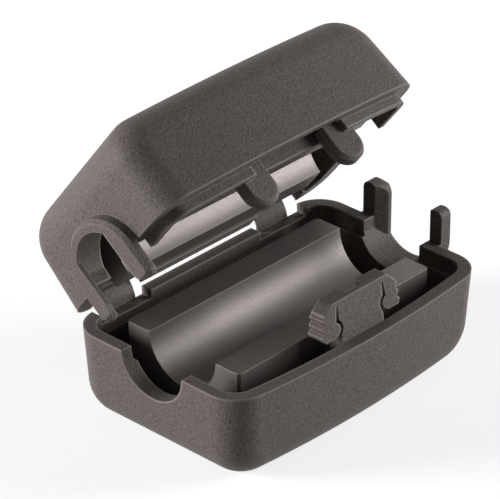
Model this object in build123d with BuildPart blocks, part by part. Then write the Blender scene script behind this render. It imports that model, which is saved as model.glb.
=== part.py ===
from build123d import *
from math import radians, tan
import os

os.makedirs("parts", exist_ok=True)

# A clip-on ferrite bead: a two-part moulded case, hinged at the back and latched at the front, that
# shuts round a cable and holds half of a ferrite sleeve in each part.
# X runs along the cable, -Y is the latch side, Z is up and the origin lies under the cable axis.

# Ferrite halves
ferrite_length = 31.35
ferrite_width = 16.9
ferrite_height = 8.6
ferrite_bore = 4.96
ferrite_edge = 2.0
ferrite_end_edge = 0.3
ferrite_proud = 0.15
ferrite_fit = 0.05
land_gap = 0.02

# Case halves, and the room that they leave round the ferrite
wall = 1.9
roof = 1.7
end_room = 2.925
back_room = 2.35
front_room = 0.4
front_bow = 1.3
end_radius = 5.0
corner_radius = 3.9
cavity_edge = 1.3
draft_angle = 3.0
overrun = 1.0

# Ribs that carry the ferrite
rib_seat = 1.3
rib_inset = 4.2
rib_thickness = 1.2
rib_reach = 5.2
stop_inset = 2.45
stop_reach = 4.6

# Cable notch, collar and fingers
cable_radius = 4.5
saddle_width = 8.4
collar_wall = 1.4
base_collar_reach = 2.4
lid_collar_reach = 1.5
collar_root = 0.6
collar_edge = 0.5
finger_reach = 3.9
finger_clearance = 0.3
finger_slot = 6.7
finger_land = 0.55
finger_nose_radius = 1.7
finger_tip_radius = 0.8

# Film hinge
open_angle = 52.7
hinge_offset = 0.05
film_thickness = 0.5
film_root = 1.2
strap_width = 5.0
strap_inset = 7.9
window_width = 7.8
window_shift = 0.3
pad_height = 0.6
pad_slope = 1.0

# Rebate and lip
rim_wall = 1.5
rebate_depth = 1.9
lip_clearance = 0.15
lip_wall = 0.9
lip_height = 1.2
lip_root = 1.5
lip_gap = 14.6
lip_end_y = 4.7

# Latch
latch_shift = 0.35
latch_gap = 0.15
latch_thickness = 1.8
latch_lean = 0.75
latch_top = 5.1
latch_top_width = 9.1
latch_shoulder_width = 11.7
latch_shoulder_drop = 1.15
latch_tooth_count = 3
latch_tooth_pitch = 1.0
latch_tooth_depth = 0.45
latch_tooth_spread = 0.1
latch_undercut = 0.2
tooth_crest_share = 0.4
latch_stem_width = 6.8
slit_top_drop = 0.6
slit_top_width = 0.2
slit_width = 0.6
slit_x = 3.6
lobe_x = 4.25
lobe_drop = 3.2
lobe_radius = 0.8
lobe_gap = 0.4
groove_width = 2.6
groove_depth = 1.15
groove_edge = 0.5

# Catch tongues and panel in the lid
tongue_x = 6.9
tongue_width = 4.4
tongue_reach = 4.6
tongue_gap = 0.2
tongue_thickness = 1.4
tongue_edge = 0.4
tongue_overlap = 0.3
catch_clearance = 0.2
root_clearance = 0.3
panel_clearance = 0.15
panel_thickness = 0.8
panel_reach = 0.7
pocket_wall = 1.2

# Levels and places that follow from the sizes
rim_gap = ferrite_proud + land_gap
ferrite_top = land_gap + ferrite_height
half_depth = ferrite_top - rim_gap + rib_seat + roof
ceiling = rim_gap + half_depth - roof
parting_z = half_depth + rim_gap
base_rim_z = parting_z - rim_gap
lid_rim_z = parting_z + rim_gap
case_end = ferrite_length / 2 + end_room + wall
case_length = 2 * case_end
back_reach = ferrite_width / 2 + back_room + wall
panel_front = ferrite_width / 2 + panel_clearance + panel_thickness
latch_back = panel_front + latch_gap
latch_front = latch_back + latch_thickness
front_reach = latch_front + front_room + wall
tongue_back = panel_front + tongue_gap
tongue_front = tongue_back + tongue_thickness
rib_x = ferrite_length / 2 - rib_inset
stop_y = ferrite_width / 2 - stop_inset
collar_radius = cable_radius + collar_wall
hinge_y = back_reach + hinge_offset
hinge_axis = Axis((0, hinge_y, parting_z), (1, 0, 0))
strap_x = case_end - strap_inset
window_x = strap_x + window_shift
head_top = base_rim_z + latch_top
shoulder_z = head_top - latch_shoulder_drop
arm_low = shoulder_z - latch_tooth_pitch * latch_tooth_count
tooth_root = latch_shoulder_width / 2 - latch_undercut
arm_reach = tooth_root + latch_tooth_depth + latch_tooth_spread * latch_tooth_count


# Plan of a half, set in from its outside: straight ends and back, and a bowed front
def plan(inset):
    end = case_end - inset
    front = front_reach - inset
    back = back_reach - inset
    with BuildSketch() as face:
        with BuildLine():
            Polyline((end, front_bow - front), (end, back), (-end, back), (-end, front_bow - front))
            ThreePointArc((-end, front_bow - front), (0, -front), (end, front_bow - front))
        make_face()
    return face.sketch


def rounded_plan(inset):
    with BuildSketch() as face:
        add(plan(inset))
        fillet(face.vertices(), corner_radius - inset)
    return face.sketch


# Drafted solid on that plan: its ends roll over to the roof first, then one rounding runs up a corner,
# along the front or back edge of the roof and down the next corner
def rounded_form():
    with BuildPart() as form:
        with BuildSketch(Plane.XY.offset(rim_gap)):
            add(plan(0))
        extrude(amount=half_depth, taper=draft_angle)
        fillet(form.faces().sort_by(Axis.Z)[-1].edges().filter_by(Axis.Y), end_radius)
        sides = form.faces().sort_by(Axis.Y)
        runs = [
            edge
            for side in (sides[0], sides[-1])
            for edge in side.edges()
            if edge.center().Z > 2 * rim_gap
        ]
        fillet(runs, corner_radius)
    return form.part


# Room inside a half, with the ribs and end stops left standing and the ferrite's place kept free
with BuildPart() as cavity:
    with BuildSketch(Plane.XY.offset(rim_gap)) as room:
        add(plan(wall))
        chamfer(room.vertices(), cavity_edge)
    extrude(amount=half_depth - roof, taper=draft_angle)
    chamfer(cavity.faces().sort_by(Axis.Z)[-1].edges(), cavity_edge)
    with BuildSketch(Plane.XY.offset(ceiling - rib_reach)):
        with Locations((-rib_x, 0), (rib_x, 0)):
            Rectangle(rib_thickness, 2 * front_reach)
    extrude(amount=rib_reach, mode=Mode.SUBTRACT)
    with BuildSketch(Plane.XY.offset(ceiling - stop_reach)):
        with Locations((0, -stop_y), (0, stop_y)):
            Rectangle(case_length, rib_thickness)
    extrude(amount=stop_reach, mode=Mode.SUBTRACT)
    with BuildSketch(Plane.XY.offset(rim_gap)):
        Rectangle(ferrite_length + 2 * ferrite_fit, ferrite_width + 2 * ferrite_fit)
    extrude(amount=ferrite_top - rim_gap)


# Collar round the cable: a hoop with two fingers that pass outside the other half's end, and its root
def collar(reach):
    with BuildPart() as ring:
        with BuildSketch(Plane.YZ.offset(-case_end - reach)) as hoop:
            Circle(collar_radius)
            Rectangle(
                2 * collar_radius,
                2 * collar_radius,
                align=(Align.CENTER, Align.MAX),
                mode=Mode.SUBTRACT,
            )
            Rectangle(2 * collar_radius, finger_reach, align=(Align.CENTER, Align.MAX))
            fillet(hoop.vertices().sort_by(Axis.Y)[:2], finger_tip_radius)
        extrude(amount=reach - finger_clearance)
        chamfer(ring.faces().sort_by(Axis.X)[0].edges(), collar_edge)
        with BuildSketch(Plane.YZ.offset(-case_end - reach + collar_edge)):
            Circle(collar_radius)
            with Locations((0, rim_gap)):
                Rectangle(
                    2 * collar_radius,
                    2 * collar_radius,
                    align=(Align.CENTER, Align.MAX),
                    mode=Mode.SUBTRACT,
                )
        extrude(amount=reach - collar_edge + collar_root)
    return ring.part


# Slot that the collar leaves for the cable: a saddle with upright sides, which narrow in a wedge to the
# finger lands, and open out again round the finger tips
def cable_slot(reach):
    slot_low = finger_reach + overrun
    slot_start = -case_end - reach - overrun
    land_x = -case_end - reach + finger_land
    wedge_x = -case_end - finger_clearance
    slot_end = -case_end + wall + overrun
    nose_y = finger_slot / 2 + finger_nose_radius
    nose_z = finger_nose_radius - finger_reach
    with BuildPart() as slot:
        with BuildSketch(Plane.YZ.offset(slot_start)):
            Circle(cable_radius)
            Rectangle(2 * cable_radius, slot_low, align=(Align.CENTER, Align.MAX))
        extrude(amount=slot_end - slot_start)
        with BuildSketch(Plane.XY.offset(-slot_low)):
            with BuildLine():
                Polyline(
                    (slot_end, saddle_width / 2),
                    (wedge_x, saddle_width / 2),
                    (land_x, finger_slot / 2),
                    (slot_start, finger_slot / 2),
                    (slot_start, -finger_slot / 2),
                    (land_x, -finger_slot / 2),
                    (wedge_x, -saddle_width / 2),
                    (slot_end, -saddle_width / 2),
                    close=True,
                )
            make_face()
        extrude(amount=slot_low + collar_radius, mode=Mode.INTERSECT)
        with BuildSketch(Plane.YZ.offset(slot_start)):
            with BuildLine():
                CenterArc((-nose_y, nose_z), finger_nose_radius, 270, 90)
                Line((-finger_slot / 2, nose_z), (finger_slot / 2, nose_z))
                CenterArc((nose_y, nose_z), finger_nose_radius, 180, 90)
                Polyline(
                    (nose_y, -finger_reach),
                    (nose_y, -slot_low),
                    (-nose_y, -slot_low),
                    (-nose_y, -finger_reach),
                )
            make_face()
        extrude(amount=reach + 2 * overrun)
    return slot.part


# One case half, open side down with the parting plane at zero, the collar at the -X end
def case_half(reach):
    pad_face = hinge_y + film_thickness / 2
    pad_back = hinge_y - film_thickness
    pad_low = film_root + pad_height + pad_slope
    with BuildPart() as half:
        add(rounded_form())
        add(cavity.part, mode=Mode.SUBTRACT)
        with BuildSketch(Plane.YZ):
            Circle(cable_radius)
        extrude(amount=case_length, mode=Mode.SUBTRACT)
        add(collar(reach))
        add(cable_slot(reach), mode=Mode.SUBTRACT)

        # Hinge windows through the back wall, with a pad under each film strap
        with BuildSketch(Plane.XY):
            with Locations((-window_x, back_reach), (window_x, back_reach)):
                Rectangle(window_width, 2 * wall + 2 * overrun)
        extrude(amount=film_root, mode=Mode.SUBTRACT)
        for strap_start in (-strap_x - strap_width / 2, strap_x - strap_width / 2):
            with BuildSketch(Plane.YZ.offset(strap_start)):
                with BuildLine():
                    Polyline(
                        (pad_back, film_root),
                        (pad_face, film_root),
                        (pad_face, film_root + pad_height),
                        (pad_back, pad_low),
                        close=True,
                    )
                make_face()
            extrude(amount=strap_width)
    return half.part


# Base shell: a half turned over about Y, with the rebate that takes the lid's lip
with BuildPart() as base_shell:
    with Locations((0, 0, parting_z)):
        add(case_half(base_collar_reach), rotation=(0, 180, 0))
    with BuildSketch(Plane.XY.offset(base_rim_z - rebate_depth)):
        add(rounded_plan(rim_wall))
    extrude(amount=rebate_depth, mode=Mode.SUBTRACT)
base_shell.part.label = "base_shell"
export_step(base_shell.part, "parts/base_shell.step")


# Half of the ferrite sleeve, bore down with the parting plane at zero
with BuildPart() as ferrite_half:
    with BuildSketch(Plane.XY.offset(land_gap)):
        Rectangle(ferrite_length, ferrite_width)
    extrude(amount=ferrite_height)
    fillet(ferrite_half.faces().sort_by(Axis.Z)[-1].edges().filter_by(Axis.X), ferrite_edge)
    chamfer(ferrite_half.edges().filter_by(Axis.Z), ferrite_end_edge)
    with BuildSketch(Plane.YZ):
        Circle(ferrite_bore)
    extrude(amount=ferrite_length, both=True, mode=Mode.SUBTRACT)

with BuildPart() as lower_ferrite:
    with Locations((0, 0, parting_z)):
        add(ferrite_half.part, rotation=(0, 180, 0))
lower_ferrite.part.label = "lower_ferrite"
export_step(lower_ferrite.part, "parts/lower_ferrite.step")

with BuildPart() as closed_ferrite:
    with Locations((0, 0, parting_z)):
        add(ferrite_half.part)

with BuildPart() as upper_ferrite:
    add(closed_ferrite.part.rotate(hinge_axis, -open_angle))
upper_ferrite.part.label = "upper_ferrite"
export_step(upper_ferrite.part, "parts/upper_ferrite.step")


# Catch tongues of the lid: plates with a round nose and a ledge on top that the latch's arms drop onto
nose_z = lid_rim_z - tongue_reach + tongue_width / 2
ledge_z = arm_low - catch_clearance
with BuildPart() as tongues:
    with BuildSketch(Plane.XZ.offset(tongue_back)):
        with Locations((latch_shift - tongue_x, nose_z), (latch_shift + tongue_x, nose_z)):
            Circle(tongue_width / 2)
            Rectangle(tongue_width, ledge_z - nose_z, align=(Align.CENTER, Align.MIN))
    extrude(amount=tongue_thickness)
    noses = tongues.faces().sort_by(Axis.Y)[:2].edges().filter_by(GeomType.CIRCLE)
    chamfer(noses, tongue_edge)


# Lid shell, made closed: the half with its lip, catch tongues and inner panel
root_start = arm_reach + root_clearance
root_width = tongue_x + tongue_width / 2 - root_start
root_x = root_start + root_width / 2
roof_z = parting_z + ceiling + roof / 2
with BuildPart() as closed_lid:
    with Locations((0, 0, parting_z)):
        add(case_half(lid_collar_reach))

    # The wall is thinner over the latch, so that the latch tip clears it as the lid swings
    with BuildSketch(Plane.XY.offset(lid_rim_z)):
        with Locations((latch_shift, -front_reach + pocket_wall)):
            Rectangle(2 * root_start, wall, align=(Align.CENTER, Align.MIN))
    extrude(amount=latch_top, mode=Mode.SUBTRACT)

    # Lip along the front and the front part of the ends, open where the latch stands
    with BuildSketch(Plane.XY.offset(lid_rim_z - lip_height)):
        add(rounded_plan(rim_wall + lip_clearance))
        add(rounded_plan(rim_wall + lip_clearance + lip_wall), mode=Mode.SUBTRACT)
        with Locations((0, -lip_end_y)):
            Rectangle(
                case_length,
                lip_end_y + back_reach,
                align=(Align.CENTER, Align.MIN),
                mode=Mode.SUBTRACT,
            )
        with Locations((latch_shift, -lip_end_y)):
            Rectangle(lip_gap, front_reach, align=(Align.CENTER, Align.MAX), mode=Mode.SUBTRACT)
    extrude(amount=lip_height + lip_root)

    # Tongues, tied to the roof by their outer parts, and the panel behind the latch
    add(tongues.part)
    with BuildSketch(Plane.XZ.offset(panel_front - tongue_overlap)):
        with Locations((latch_shift - root_x, lid_rim_z), (latch_shift + root_x, lid_rim_z)):
            Rectangle(root_width, roof_z - lid_rim_z, align=(Align.CENTER, Align.MIN))
    extrude(amount=tongue_front - panel_front + tongue_overlap)
    with BuildSketch(Plane.XZ.offset(panel_front - panel_thickness)):
        with Locations((latch_shift, lid_rim_z - panel_reach)):
            Rectangle(
                2 * tongue_x + tongue_width,
                roof_z - lid_rim_z + panel_reach,
                align=(Align.CENTER, Align.MIN),
            )
    extrude(amount=panel_thickness)

with BuildPart() as lid_shell:
    add(closed_lid.part.rotate(hinge_axis, -open_angle))
lid_shell.part.label = "lid_shell"
export_step(lid_shell.part, "parts/lid_shell.step")


# Latch: an arrowhead plate on a stem, with two spring arms split off by slits and toothed outside
arm_edge = [(latch_top_width / 2, head_top), (latch_shoulder_width / 2, shoulder_z)]
for tooth in range(latch_tooth_count):
    tooth_top = shoulder_z - latch_tooth_pitch * tooth
    tooth_crest = tooth_top - latch_tooth_pitch * tooth_crest_share
    tooth_in = tooth_root + latch_tooth_spread * tooth
    arm_edge.append((tooth_in, tooth_top))
    arm_edge.append((tooth_in + latch_tooth_depth, tooth_crest))
arm_edge.append((tooth_in + latch_tooth_spread, arm_low))
lobe_z = head_top - lobe_drop
slit_top_z = head_top - slit_top_drop
foot_z = parting_z - ceiling
slit_edge = [
    (slit_x + slit_width, arm_low),
    (slit_x + slit_width, lobe_z),
    (slit_x + slit_top_width, slit_top_z),
]
slit = slit_edge + [(slit_x, slit_top_z), (slit_x, lobe_z), (latch_stem_width / 2, arm_low)]
arm = slit_edge + arm_edge
blade = arm_edge + [(latch_stem_width / 2, arm_low), (latch_stem_width / 2, foot_z)]

with BuildPart() as latch_blade:
    with BuildSketch(Plane.XZ.offset(latch_back)):
        with BuildLine():
            Polyline(blade + [(-x, z) for x, z in reversed(blade)], close=True)
        make_face()
        with Locations((-lobe_x, lobe_z), (lobe_x, lobe_z)):
            Circle(lobe_radius + lobe_gap, mode=Mode.SUBTRACT)
        for side in (1, -1):
            with BuildLine():
                Polyline([(side * x, z) for x, z in slit], close=True)
            make_face(mode=Mode.SUBTRACT)
            with BuildLine():
                Polyline([(side * x, z) for x, z in arm], close=True)
            make_face()
        with Locations((-lobe_x, lobe_z), (lobe_x, lobe_z)):
            Circle(lobe_radius)
    extrude(amount=latch_thickness + latch_lean)

    # The front leans back from the rim to the top, and a groove up the back keeps the section even
    with BuildSketch(Plane.YZ):
        with BuildLine():
            Polyline(
                (-latch_front, head_top),
                (-latch_front - latch_lean, base_rim_z),
                (-latch_front - latch_lean - overrun, base_rim_z),
                (-latch_front - latch_lean - overrun, head_top),
                close=True,
            )
        make_face()
    extrude(amount=arm_reach + overrun, both=True, mode=Mode.SUBTRACT)
    with BuildSketch(Plane.XY.offset(foot_z)):
        with Locations((0, -latch_back)):
            RectangleRounded(groove_width, 2 * groove_depth, groove_edge)
    extrude(amount=head_top - foot_z, mode=Mode.SUBTRACT)

with BuildPart() as latch_clip:
    with Locations((latch_shift, 0, 0)):
        add(latch_blade.part)
    add(base_shell.part, mode=Mode.SUBTRACT)
latch_clip.part.label = "latch_clip"
export_step(latch_clip.part, "parts/latch_clip.step")


# Film straps: each is an arc that leaves the base's wall upright and meets the lid's wall in its own plane
film_bend = film_root / tan(radians(open_angle / 2))
strap_low = parting_z - film_root
bend_axis = Axis((0, hinge_y + film_bend, strap_low), (-1, 0, 0))

with BuildPart() as hinge_strap_near:
    with BuildSketch(Plane.XY.offset(strap_low)):
        with Locations((-strap_x, hinge_y)):
            Rectangle(strap_width, film_thickness)
    revolve(axis=bend_axis, revolution_arc=open_angle)
hinge_strap_near.part.label = "hinge_strap_near"
export_step(hinge_strap_near.part, "parts/hinge_strap_near.step")

with BuildPart() as hinge_strap_far:
    with BuildSketch(Plane.XY.offset(strap_low)):
        with Locations((strap_x, hinge_y)):
            Rectangle(strap_width, film_thickness)
    revolve(axis=bend_axis, revolution_arc=open_angle)
hinge_strap_far.part.label = "hinge_strap_far"
export_step(hinge_strap_far.part, "parts/hinge_strap_far.step")
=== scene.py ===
import math

import bpy
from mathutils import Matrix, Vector


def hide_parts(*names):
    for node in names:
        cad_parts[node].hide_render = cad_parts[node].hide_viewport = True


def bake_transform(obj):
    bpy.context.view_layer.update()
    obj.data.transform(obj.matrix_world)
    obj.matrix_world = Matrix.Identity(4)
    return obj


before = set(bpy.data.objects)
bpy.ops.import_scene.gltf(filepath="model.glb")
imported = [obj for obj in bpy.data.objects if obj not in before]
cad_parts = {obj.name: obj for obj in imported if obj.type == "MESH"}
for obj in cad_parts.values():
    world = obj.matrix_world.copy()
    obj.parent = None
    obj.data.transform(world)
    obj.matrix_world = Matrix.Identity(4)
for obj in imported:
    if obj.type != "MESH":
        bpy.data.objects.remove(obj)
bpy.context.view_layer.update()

# Base shell: the lower half of the case, which lies on the bench and carries everything else.
# It is injection moulded in warm dark grey polyamide, in a mould whose faces were spark eroded, so the
# outside has an even fine grain. The collar's two fingers stand up at its far end.


def linear(hex_colour):
    shares = [int(hex_colour[i:i + 2], 16) / 255 for i in (1, 3, 5)]
    return [c / 12.92 if c <= 0.04045 else ((c + 0.055) / 1.055) ** 2.4 for c in shares] + [1.0]


def add_node(tree, kind, links=None, **settings):
    node = tree.nodes.new(kind)
    for name, value in settings.items():
        if hasattr(node, name):
            setattr(node, name, value)
        else:
            node.inputs[name.replace("_", " ")].default_value = value
    for socket, source in (links or {}).items():
        tree.links.new(source, node.inputs[socket])
    return node


def per_metre(size_mm):
    return 1000 / size_mm


def clothe(node_name, material):
    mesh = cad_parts[node_name].data
    mesh.materials.clear()
    mesh.materials.append(material)


# Moulded polyamide: dull, warm and dark, with no clear reflections. The eroded grain is about 0.2 mm, drawn
# at about that so that it just shows; a slow drift of tone comes from the flow of the melt. Moulded edges
# are broken by about 0.3 mm, and a painted highlight lightens the colour along them into a thin light line.
grain_mm = 0.22
drift_mm = 8.0
grain_depth_m = 0.00008
broken_edge_m = 0.0003
# Share of the painted edge highlight: how far the colour is lightened at an outer edge
edge_highlight_share = 0.48
# A colour Mix node's socket names repeat for each kind of data, so its sockets go by number
mix_share, mix_first, mix_second, mix_result = 0, 6, 7, 2
polyamide = bpy.data.materials.new("moulded_polyamide_spark_grain")
polyamide.use_nodes = True
tree = polyamide.node_tree
shader = tree.nodes["Principled BSDF"]
shader.inputs["IOR"].default_value = 1.53
shader.inputs["Specular IOR Level"].default_value = 0.15
place = add_node(tree, "ShaderNodeTexCoord").outputs["Object"]
grain = add_node(tree, "ShaderNodeTexNoise", {"Vector": place}, Scale=per_metre(grain_mm), Detail=2.0)
drift = add_node(tree, "ShaderNodeTexNoise", {"Vector": place}, Scale=per_metre(drift_mm), Detail=2.0)
speckle = add_node(tree, "ShaderNodeValToRGB", {"Fac": grain.outputs["Fac"]})
speckle.color_ramp.elements[0].position = 0.25
speckle.color_ramp.elements[0].color = linear("#38322f")
speckle.color_ramp.elements[1].position = 0.75
speckle.color_ramp.elements[1].color = linear("#736a66")
hold = add_node(tree, "ShaderNodeMapRange", {"Value": drift.outputs["Fac"]}, To_Min=0.0, To_Max=0.4)
tone = add_node(
    tree,
    "ShaderNodeMix",
    {mix_share: hold.outputs["Result"], mix_first: speckle.outputs["Color"]},
    data_type="RGBA",
)
tone.inputs[mix_second].default_value = linear("#57504d")

# Rays cast into the plastic meet another face within this depth only beside an outer edge
near_edge = add_node(
    tree,
    "ShaderNodeAmbientOcclusion",
    inside=True,
    only_local=True,
    samples=8,
    Distance=broken_edge_m,
)
# Painted highlight: the colour is lightened along outer edges to stand in for the light that rounded edges
# catch
painted_edge_highlight = add_node(
    tree,
    "ShaderNodeMapRange",
    {"Value": near_edge.outputs["AO"]},
    From_Min=0.5,
    From_Max=0.92,
    To_Min=edge_highlight_share,
    To_Max=0.0,
)
tone_with_edge_highlight = add_node(
    tree,
    "ShaderNodeMix",
    {mix_share: painted_edge_highlight.outputs["Result"], mix_first: tone.outputs[mix_result]},
    data_type="RGBA",
)
# Pale grey of the painted edge highlight
tone_with_edge_highlight.inputs[mix_second].default_value = linear("#a39893")
tree.links.new(tone_with_edge_highlight.outputs[mix_result], shader.inputs["Base Color"])
dullness = add_node(
    tree,
    "ShaderNodeMapRange",
    {"Value": grain.outputs["Fac"]},
    To_Min=0.42,
    To_Max=0.66,
)
tree.links.new(dullness.outputs["Result"], shader.inputs["Roughness"])
broken_edge = add_node(tree, "ShaderNodeBevel", samples=8, Radius=broken_edge_m)
relief = add_node(
    tree,
    "ShaderNodeBump",
    {"Height": grain.outputs["Fac"], "Normal": broken_edge.outputs["Normal"]},
    Strength=0.7,
    Distance=grain_depth_m,
)
tree.links.new(relief.outputs["Normal"], shader.inputs["Normal"])

clothe("base_shell", polyamide)

# Ferrite halves: the split sleeve that does the work, one half pressed into each part of the case.
# They are pressed and sintered ceramic, ground on the lands and tumbled, and sit on the ribs of the shells.

# Sintered ferrite: a dense dark grey ceramic with a satin sheen, which shows as a soft bright band along the
# bore. Pores and tumbling marks are about 0.1 mm, drawn at 0.18 mm so that they just show.
pore_mm = 0.18
cloud_mm = 5.0
pore_depth_m = 0.00004
worn_edge_m = 0.0001
ferrite = bpy.data.materials.new("sintered_ferrite_satin")
ferrite.use_nodes = True
tree = ferrite.node_tree
shader = tree.nodes["Principled BSDF"]
shader.inputs["IOR"].default_value = 2.1
shader.inputs["Specular Tint"].default_value = linear("#fff4f0")
shader.inputs["Specular IOR Level"].default_value = 0.5
place = add_node(tree, "ShaderNodeTexCoord").outputs["Object"]
pores = add_node(tree, "ShaderNodeTexNoise", {"Vector": place}, Scale=per_metre(pore_mm), Detail=2.0)
cloud = add_node(tree, "ShaderNodeTexNoise", {"Vector": place}, Scale=per_metre(cloud_mm), Detail=3.0)
body_tone = add_node(tree, "ShaderNodeValToRGB", {"Fac": cloud.outputs["Fac"]})
body_tone.color_ramp.elements[0].position = 0.35
body_tone.color_ramp.elements[0].color = linear("#363130")
body_tone.color_ramp.elements[1].position = 0.7
body_tone.color_ramp.elements[1].color = linear("#433d3a")
tree.links.new(body_tone.outputs["Color"], shader.inputs["Base Color"])
sheen = add_node(tree, "ShaderNodeMapRange", {"Value": pores.outputs["Fac"]}, To_Min=0.38, To_Max=0.64)
tree.links.new(sheen.outputs["Result"], shader.inputs["Roughness"])
worn_edge = add_node(tree, "ShaderNodeBevel", samples=4, Radius=worn_edge_m)
pits = add_node(
    tree,
    "ShaderNodeBump",
    {"Height": pores.outputs["Fac"], "Normal": worn_edge.outputs["Normal"]},
    Strength=0.6,
    Distance=pore_depth_m,
)
tree.links.new(pits.outputs["Normal"], shader.inputs["Normal"])

clothe("lower_ferrite", ferrite)
clothe("upper_ferrite", ferrite)

# Latch: the arrowhead clip that stands behind the base's front wall, moulded with the base in polyamide.
# Its two toothed arms are split off by slits, and spring in when the lid's tongues pass them.
clothe("latch_clip", polyamide)

# Lid shell: the upper half of the case, from the same kind of mould and the same polyamide as the base.
# It carries the lip, the two round catch tongues and its own collar, and swings on the film hinge.
clothe("lid_shell", polyamide)

# Film straps: two thin films of the same polyamide, moulded across the gap between the back walls.
# Each leaves the base upright, bends in an arc into the plane of the lid's wall, and is thinnest at mid
# bend, where it gives way as the lid swings.
strap_sizes = {
    "Bend Radius": 0.0024225,
    "Bend Angle": math.radians(52.7),
    "Strap Width": 0.005,
    "Film Thickness": 0.0005,
    "Edge Radius": 0.0001,
    "Waist Share": 0.6,
    "First Strap": (-0.0126, 0.0151725, 0.01042),
    "Strap Step": (0.0252, 0.0, 0.0),
}
bend_points = 25
edge_points = 3
strap_count = 2
socket_kinds = {float: "NodeSocketFloat", tuple: "NodeSocketVector"}
tree = bpy.data.node_groups.new("film_straps", "GeometryNodeTree")
tree.interface.new_socket("Geometry", in_out="OUTPUT", socket_type="NodeSocketGeometry")
identifiers = {}
for name, value in strap_sizes.items():
    socket = tree.interface.new_socket(name, in_out="INPUT", socket_type=socket_kinds[type(value)])
    identifiers[name] = socket.identifier
sizes = add_node(tree, "NodeGroupInput").outputs
sweep = add_node(tree, "ShaderNodeMath", {1: sizes["Bend Angle"]}, operation="SUBTRACT")
sweep.inputs[0].default_value = 0.0
bend = add_node(
    tree,
    "GeometryNodeCurveArc",
    {"Radius": sizes["Bend Radius"], "Sweep Angle": sweep.outputs[0]},
    Resolution=bend_points,
    Start_Angle=math.pi,
)
along = add_node(tree, "GeometryNodeSplineParameter")
marked = add_node(tree, "GeometryNodeCaptureAttribute", {"Geometry": bend.outputs["Curve"]})
marked.capture_items.new("FLOAT", "Along")
tree.links.new(along.outputs["Factor"], marked.inputs["Along"])
section = add_node(
    tree,
    "GeometryNodeCurvePrimitiveQuadrilateral",
    {"Width": sizes["Film Thickness"], "Height": sizes["Strap Width"]},
)
eased = add_node(
    tree,
    "GeometryNodeFilletCurve",
    {"Curve": section.outputs["Curve"], "Radius": sizes["Edge Radius"]},
    mode="POLY",
    Count=edge_points,
)
film = add_node(
    tree,
    "GeometryNodeCurveToMesh",
    {"Curve": marked.outputs["Geometry"], "Profile Curve": eased.outputs["Curve"]},
    Fill_Caps=True,
)

# The film keeps its middle surface, and its two faces draw together towards mid bend, where the product
# of the shares of the bend before and after a point is at its largest, a quarter
mid_bend_product = 0.25
rest = add_node(tree, "ShaderNodeMath", {1: marked.outputs["Along"]}, operation="SUBTRACT")
rest.inputs[0].default_value = 1.0
middle = add_node(
    tree,
    "ShaderNodeMath",
    {0: marked.outputs["Along"], 1: rest.outputs[0]},
    operation="MULTIPLY",
)
left_share = add_node(
    tree,
    "ShaderNodeMapRange",
    {"Value": middle.outputs[0], "To Max": sizes["Waist Share"]},
    From_Max=mid_bend_product,
    To_Min=1.0,
)
spot = add_node(tree, "GeometryNodeInputPosition").outputs["Position"]
level_spot = add_node(tree, "ShaderNodeVectorMath", {0: spot}, operation="MULTIPLY")
level_spot.inputs[1].default_value = (1.0, 1.0, 0.0)
reach = add_node(tree, "ShaderNodeVectorMath", {0: level_spot.outputs[0]}, operation="LENGTH")
proud = add_node(
    tree,
    "ShaderNodeMath",
    {0: reach.outputs["Value"], 1: sizes["Bend Radius"]},
    operation="SUBTRACT",
)
drawn = add_node(
    tree,
    "ShaderNodeMath",
    {0: proud.outputs[0], 1: left_share.outputs["Result"], 2: sizes["Bend Radius"]},
    operation="MULTIPLY_ADD",
)
ratio = add_node(
    tree,
    "ShaderNodeMath",
    {0: drawn.outputs[0], 1: reach.outputs["Value"]},
    operation="DIVIDE",
)
ratios = add_node(tree, "ShaderNodeCombineXYZ", {"X": ratio.outputs[0], "Y": ratio.outputs[0]}, Z=1.0)
moved = add_node(tree, "ShaderNodeVectorMath", {0: spot, 1: ratios.outputs[0]}, operation="MULTIPLY")
waisted = add_node(
    tree,
    "GeometryNodeSetPosition",
    {"Geometry": film.outputs["Mesh"], "Position": moved.outputs[0]},
)
upright = add_node(
    tree,
    "GeometryNodeTransform",
    {"Geometry": waisted.outputs["Geometry"]},
    Rotation=(math.pi / 2, 0.0, math.pi / 2),
)
places = add_node(
    tree,
    "GeometryNodeMeshLine",
    {"Start Location": sizes["First Strap"], "Offset": sizes["Strap Step"]},
    Count=strap_count,
)
pair = add_node(
    tree,
    "GeometryNodeInstanceOnPoints",
    {"Points": places.outputs["Mesh"], "Instance": upright.outputs["Geometry"]},
)
real = add_node(tree, "GeometryNodeRealizeInstances", {"Geometry": pair.outputs["Instances"]})
clothed = add_node(
    tree,
    "GeometryNodeSetMaterial",
    {"Geometry": real.outputs["Geometry"]},
    Material=polyamide,
)
add_node(tree, "NodeGroupOutput", {"Geometry": clothed.outputs["Geometry"]})

film_straps = bpy.data.objects.new("film_straps", bpy.data.meshes.new("film_straps"))
bpy.context.scene.collection.objects.link(film_straps)
modifier = film_straps.modifiers.new("film_straps", "NODES")
modifier.node_group = tree
for name, value in strap_sizes.items():
    modifier[identifiers[name]] = value
evaluated = film_straps.evaluated_get(bpy.context.evaluated_depsgraph_get())
strap_mesh = bpy.data.meshes.new_from_object(evaluated)
film_straps.modifiers.remove(modifier)
film_straps.data = strap_mesh
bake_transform(film_straps)
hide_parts("hinge_strap_near", "hinge_strap_far")

# Floor: a plain white sheet that the bead lies on.
# It is paper, and its own brightness to the camera keeps it white round the bead's soft shadow.
floor_size = 3.0
floor_glow = 0.65


def seen_directly(tree):
    rays = add_node(tree, "ShaderNodeLightPath").outputs
    total = rays["Is Camera Ray"]
    for kind in ("Is Glossy Ray", "Is Transmission Ray"):
        total = add_node(tree, "ShaderNodeMath", {0: total, 1: rays[kind]}, operation="ADD").outputs[0]
    return total


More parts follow.
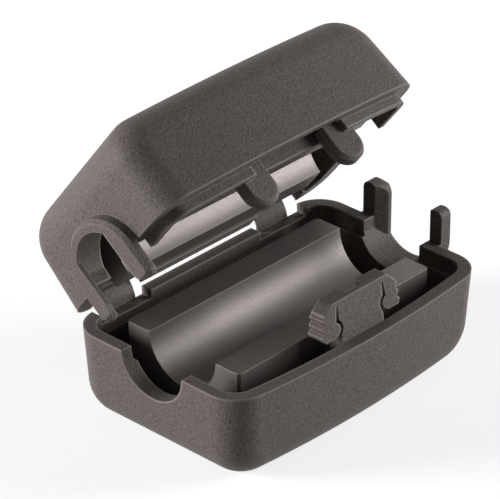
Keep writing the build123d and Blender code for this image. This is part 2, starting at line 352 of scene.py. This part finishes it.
bpy.ops.mesh.primitive_plane_add(size=floor_size)
floor = bpy.context.object
floor.name = "white_sheet"
paper = bpy.data.materials.new("white_sheet_paper")
paper.use_nodes = True
tree = paper.node_tree
paper_shader = tree.nodes["Principled BSDF"]
paper_shader.inputs["Base Color"].default_value = linear("#c8c8c8")
paper_shader.inputs["Roughness"].default_value = 0.9
paper_shader.inputs["Emission Color"].default_value = linear("#ffffff")
glow = add_node(tree, "ShaderNodeMapRange", {"Value": seen_directly(tree)}, To_Min=0.0, To_Max=floor_glow)
tree.links.new(glow.outputs["Result"], paper_shader.inputs["Emission Strength"])
floor.data.materials.append(paper)

# Studio: a white surround that gives little light itself, and a soft box on each side of the camera's line.
# The left one lights the ends and the right one the front, so the corner towards the camera stays dark.
surround_light = 0.05
surround_seen = 1.0
lamp_aim = Vector((0, 0, 0.015))
lamp_distance = 0.6
world = bpy.data.worlds.new("studio")
bpy.context.scene.world = world
world.use_nodes = True
tree = world.node_tree
surround = tree.nodes["Background"]
surround.inputs["Color"].default_value = linear("#ffffff")
level = add_node(
    tree,
    "ShaderNodeMapRange",
    {"Value": seen_directly(tree)},
    To_Min=surround_light,
    To_Max=surround_seen,
)
tree.links.new(level.outputs["Result"], surround.inputs["Strength"])


def soft_box(name, direction, size_m, watts):
    lamp = bpy.data.lights.new(name, "AREA")
    lamp.energy = watts
    lamp.size = size_m
    holder = bpy.data.objects.new(name, lamp)
    bpy.context.scene.collection.objects.link(holder)
    towards = Vector(direction).normalized()
    holder.location = lamp_aim + towards * lamp_distance
    holder.rotation_euler = towards.to_track_quat("Z", "Y").to_euler()


soft_box("left_box", direction=(-0.75, 0.62, 0.22), size_m=0.24, watts=5.1)
soft_box("right_box", direction=(0.78, -0.58, 0.24), size_m=0.3, watts=4.2)

# Camera: the photograph's place, left of the latch side and above, on a long lens.
# The angle and distance come from fitting the case's edges to the photograph.
azimuth = math.radians(-47.153)
elevation = math.radians(29.729)
distance = 0.39067
aim_point = Vector((-0.001954, 0.002681, 0.017033))
level_reach = math.cos(elevation)
back = Vector((math.sin(azimuth) * level_reach, -math.cos(azimuth) * level_reach, math.sin(elevation)))
camera_data = bpy.data.cameras.new("photo_camera")
camera_data.sensor_width = 36.0
camera_data.sensor_fit = "HORIZONTAL"
camera_data.lens = 254.37
camera_data.clip_start = 0.01
camera = bpy.data.objects.new("photo_camera", camera_data)
bpy.context.scene.collection.objects.link(camera)
camera.location = aim_point + back * distance
camera.rotation_euler = (-back).to_track_quat("-Z", "Y").to_euler()
bpy.context.scene.camera = camera
bpy.context.scene.view_settings.view_transform = "Standard"
